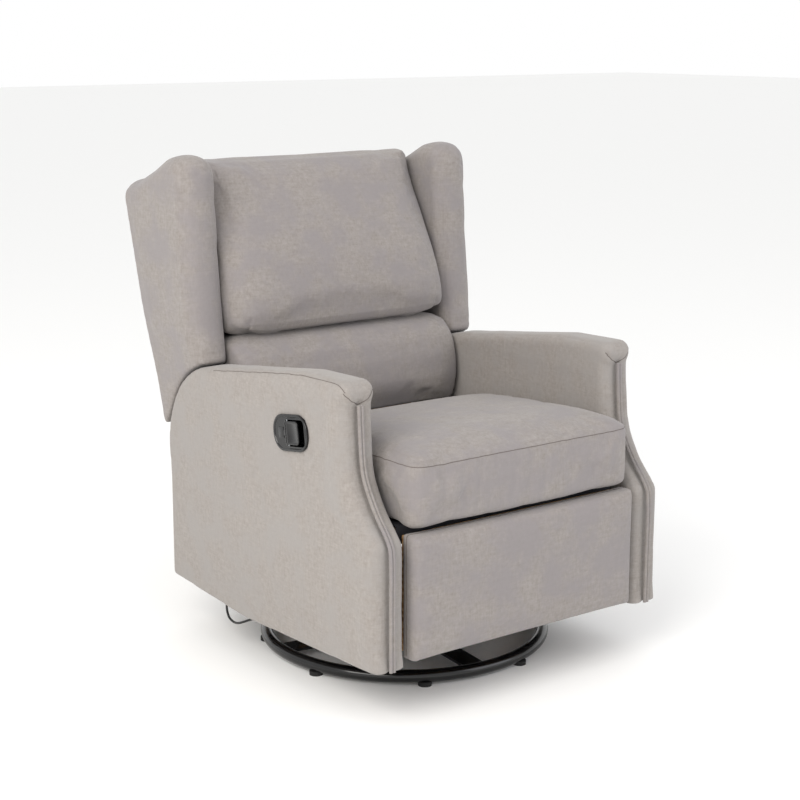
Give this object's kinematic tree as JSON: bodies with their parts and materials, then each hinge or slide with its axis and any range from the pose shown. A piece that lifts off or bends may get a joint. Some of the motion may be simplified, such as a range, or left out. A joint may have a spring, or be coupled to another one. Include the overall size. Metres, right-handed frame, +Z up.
{
  "type": "swivel glider recliner chair",
  "caption": "Wing-back nursery armchair that swivels and glides on a ring base, with a reclining back and a fold-out footrest worked by a side release handle.",
  "frame": {"origin": "on the floor under the middle of the chair's outline, seen from above", "axes": "+Z up, the sitter faces -Y, the sitter's right hand and the release handle are on the -X side"},
  "size_m": [0.735, 0.9369, 1.029],
  "materials": {
    "base_enamel": "gloss black powder coat",
    "rubber_feet": "matt",
    "mechanism_paint": "satin black",
    "zinc_steel": "zinc plated",
    "spring_steel": "oiled wire",
    "frame_wood": "planed softwood and plywood",
    "handle_plastic": "gloss",
    "cable_sheath": "satin sheath",
    "deck_cloth": "non-woven deck cloth",
    "welt_fabric": "piped strip of the cover cloth",
    "cover_fabric": "soft brushed woven cover"
  },
  "bodies": {
    "base": {"floor_ring": "base_enamel", "cross_bars": "base_enamel", "ring_feet": "rubber_feet", "swivel_lower_plate": "mechanism_paint", "swivel_bearing": "zinc_steel", "king_pin": "zinc_steel"},
    "turning_frame": {"swivel_upper_plate": "mechanism_paint", "glide_base_frame": "mechanism_paint", "glide_upper_pins": "zinc_steel"},
    "glide_link_front_left": {"glide_link_front_left": "zinc_steel"},
    "glide_link_front_right": {"glide_link_front_right": "zinc_steel"},
    "glide_link_rear_left": {"glide_link_rear_left": "zinc_steel"},
    "glide_link_rear_right": {"glide_link_rear_right": "zinc_steel"},
    "seat_unit": {"glide_rail_left": "mechanism_paint", "glide_rail_right": "mechanism_paint", "glide_lower_pins": "zinc_steel", "carriage_tubes": "mechanism_paint", "mechanism_plate_left": "mechanism_paint", "mechanism_plate_right": "mechanism_paint", "footrest_fixed_pins": "zinc_steel", "recline_pins": "zinc_steel", "seat_frame": "frame_wood", "seat_springs": "spring_steel", "seat_deck": "deck_cloth", "seat_cushion": "cover_fabric", "side_cover_left": "cover_fabric", "side_cover_right": "cover_fabric", "side_board_left": "frame_wood", "side_board_right": "frame_wood", "side_cleats": "frame_wood", "rear_board": "frame_wood", "rear_cover": "cover_fabric", "front_welt_left": "welt_fabric", "front_welt_right": "welt_fabric", "handle_plate": "handle_plastic", "handle_pin": "zinc_steel", "release_cable": "cable_sheath", "cable_clip": "zinc_steel"},
    "release_lever": {"handle_lever": "handle_plastic"},
    "lift_arms": {"lift_arms": "mechanism_paint", "lift_arm_pins": "zinc_steel"},
    "reach_links": {"reach_links": "mechanism_paint", "reach_link_pins": "zinc_steel"},
    "steady_link_left": {"steady_link_left": "zinc_steel"},
    "steady_link_right": {"steady_link_right": "zinc_steel"},
    "tilt_link_left": {"tilt_link_left": "zinc_steel"},
    "tilt_link_right": {"tilt_link_right": "zinc_steel"},
    "footrest": {"footrest_brackets": "mechanism_paint", "footrest_bracket_pins": "zinc_steel", "footrest_board": "frame_wood", "footrest_pad": "cover_fabric"},
    "back": {"back_frame": "frame_wood", "back_springs": "spring_steel", "back_hinge_plates": "mechanism_paint", "outer_back": "cover_fabric", "wing_left": "cover_fabric", "wing_right": "cover_fabric", "head_pillow": "cover_fabric", "lumbar_cushion": "cover_fabric"}
  },
  "joints": [
    {"name": "swivel", "type": "hinge", "parent": "base", "child": "turning_frame", "pos_m": [0, -0.05, 0.0395], "axis": [0, 0, 1], "continuous": true},
    {"name": "glide", "type": "hinge", "parent": "turning_frame", "child": "glide_link_front_left", "pos_m": [0.216, -0.17, 0.255], "axis": [-1, 0, 0], "range_deg": [-20, 20]},
    {"name": "glide_front_left_foot", "type": "hinge", "parent": "glide_link_front_left", "child": "seat_unit", "pos_m": [0.216, -0.17, 0.105], "axis": [-1, 0, 0], "range_deg": [-20, 20]},
    {"name": "glide_front_right", "type": "hinge", "parent": "turning_frame", "child": "glide_link_front_right", "pos_m": [-0.216, -0.17, 0.255], "axis": [-1, 0, 0], "range_deg": [-20, 20]},
    {"name": "glide_rear_left", "type": "hinge", "parent": "turning_frame", "child": "glide_link_rear_left", "pos_m": [0.216, 0.07, 0.255], "axis": [-1, 0, 0], "range_deg": [-20, 20]},
    {"name": "glide_rear_right", "type": "hinge", "parent": "turning_frame", "child": "glide_link_rear_right", "pos_m": [-0.216, 0.07, 0.255], "axis": [-1, 0, 0], "range_deg": [-20, 20]},
    {"name": "recline", "type": "hinge", "parent": "seat_unit", "child": "back", "pos_m": [0, 0.115, 0.404], "axis": [-1, 0, 0], "range_deg": [0, 30]},
    {"name": "release_pull", "type": "hinge", "parent": "seat_unit", "child": "release_lever", "pos_m": [-0.366, -0.16611, 0.52152], "axis": [0, -0.1478, -0.989], "range_deg": [0, 35], "stiffness_Nm_per_rad": 0.25, "springref_deg": -22.92},
    {"name": "footrest_lift", "type": "hinge", "parent": "seat_unit", "child": "lift_arms", "pos_m": [0, -0.32, 0.32], "axis": [-1, 0, 0], "range_deg": [0, 86]},
    {"name": "footrest_reach", "type": "hinge", "parent": "lift_arms", "child": "reach_links", "pos_m": [0, -0.24475, 0.15099], "axis": [-1, 0, 0], "range_deg": [-86, 0]},
    {"name": "footrest_tilt", "type": "hinge", "parent": "reach_links", "child": "footrest", "pos_m": [0, -0.37607, 0.26515], "axis": [-1, 0, 0], "range_deg": [0, 86]},
    {"name": "steady_left", "type": "hinge", "parent": "seat_unit", "child": "steady_link_left", "pos_m": [0.2715, -0.289, 0.31], "axis": [-1, 0, 0], "range_deg": [0, 86]},
    {"name": "steady_right", "type": "hinge", "parent": "seat_unit", "child": "steady_link_right", "pos_m": [-0.2715, -0.289, 0.31], "axis": [-1, 0, 0], "range_deg": [0, 86]},
    {"name": "tilt_left", "type": "hinge", "parent": "lift_arms", "child": "tilt_link_left", "pos_m": [0.255, -0.24962, 0.12342], "axis": [-1, 0, 0], "range_deg": [-86, 0]},
    {"name": "tilt_right", "type": "hinge", "parent": "lift_arms", "child": "tilt_link_right", "pos_m": [-0.255, -0.24962, 0.12342], "axis": [-1, 0, 0], "range_deg": [-86, 0]}
  ],
  "couplings": [
    {"joint": "glide_front_left_foot", "follows": "glide", "ratio": -1},
    {"joint": "glide_front_right", "follows": "glide", "ratio": 1},
    {"joint": "glide_rear_left", "follows": "glide", "ratio": 1},
    {"joint": "glide_rear_right", "follows": "glide", "ratio": 1},
    {"joint": "footrest_reach", "follows": "footrest_lift", "ratio": -1},
    {"joint": "footrest_tilt", "follows": "footrest_lift", "ratio": 1},
    {"joint": "steady_left", "follows": "footrest_lift", "ratio": 1},
    {"joint": "steady_right", "follows": "footrest_lift", "ratio": 1},
    {"joint": "tilt_left", "follows": "footrest_lift", "ratio": -1},
    {"joint": "tilt_right", "follows": "footrest_lift", "ratio": -1}
  ]
}
